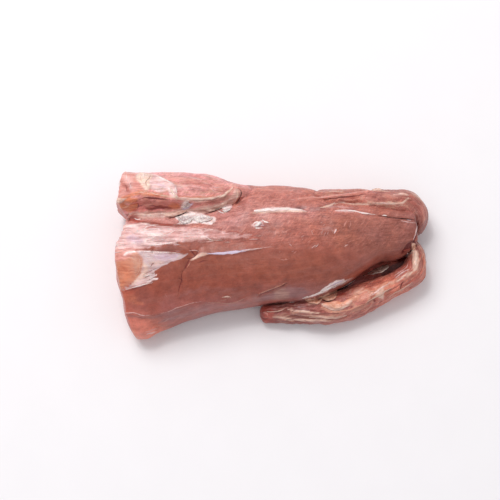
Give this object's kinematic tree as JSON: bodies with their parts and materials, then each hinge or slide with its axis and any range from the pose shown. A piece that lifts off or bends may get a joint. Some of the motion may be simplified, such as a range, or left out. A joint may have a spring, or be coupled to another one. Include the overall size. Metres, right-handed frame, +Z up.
{
  "type": "raw pork tenderloin",
  "caption": "Trimmed raw boneless loin muscle with a folded flap at its thick cut end, a lobe round its narrow end and a loose side strip, resting on a flat underside.",
  "frame": {"origin": "centre of the bounding box in plan, at the level of the face it rests on", "axes": "+X along the muscle from the thick cut end to the narrow end, +Y away from the side strip, +Z up"},
  "size_m": [0.1725, 0.0908, 0.0407],
  "materials": {
    "raw_meat": "moist raw pork muscle, brownish pink, with pale silver skin and fat on it"
  },
  "bodies": {
    "root": {"tenderloin": "raw_meat"}
  },
  "joints": []
}
